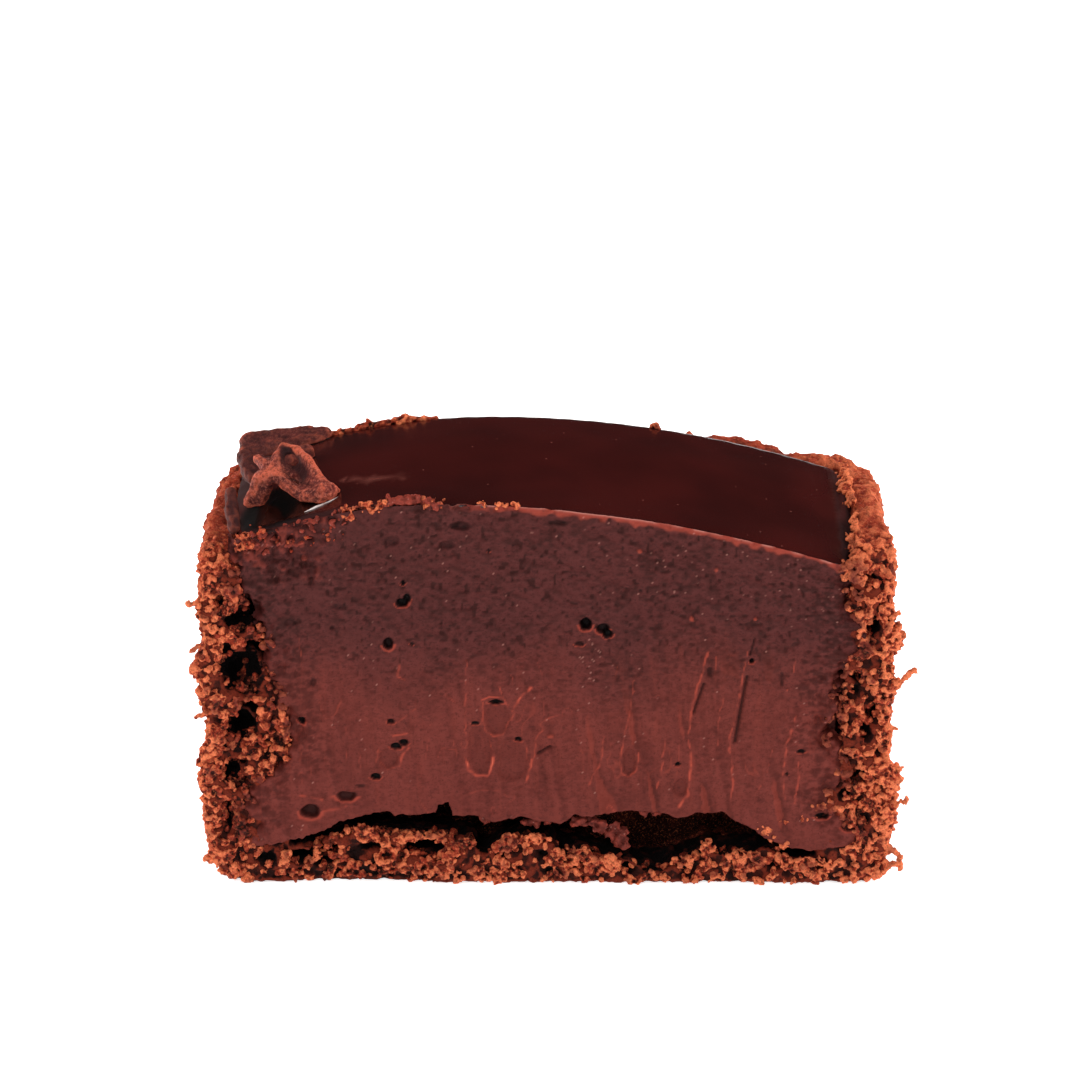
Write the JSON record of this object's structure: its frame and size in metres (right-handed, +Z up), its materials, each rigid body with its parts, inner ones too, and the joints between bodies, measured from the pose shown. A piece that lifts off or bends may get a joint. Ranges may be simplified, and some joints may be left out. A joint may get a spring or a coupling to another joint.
{
  "type": "chocolate tart",
  "caption": "Half of a square chocolate tart: cocoa pastry base and walls, ganache filling open at the cut, thin glaze and cocoa nibs on top.",
  "frame": {"origin": "centre of the underside's bounding rectangle, on the surface the tart rests on", "axes": "+X along the cut face, +Y from the cut face towards the back wall, +Z up"},
  "size_m": [0.052, 0.0261, 0.0317],
  "materials": {
    "pastry": "matte, crumbly",
    "ganache": "dense, slightly moist",
    "glaze": "glossy",
    "nib": "matte, powdery"
  },
  "bodies": {
    "root": {"crust": "pastry", "filling": "ganache", "glaze": "glaze", "nib_curl": "nib", "nib_upright": "nib", "nib_left": "nib", "nib_middle": "nib", "nib_back": "nib"}
  },
  "joints": []
}
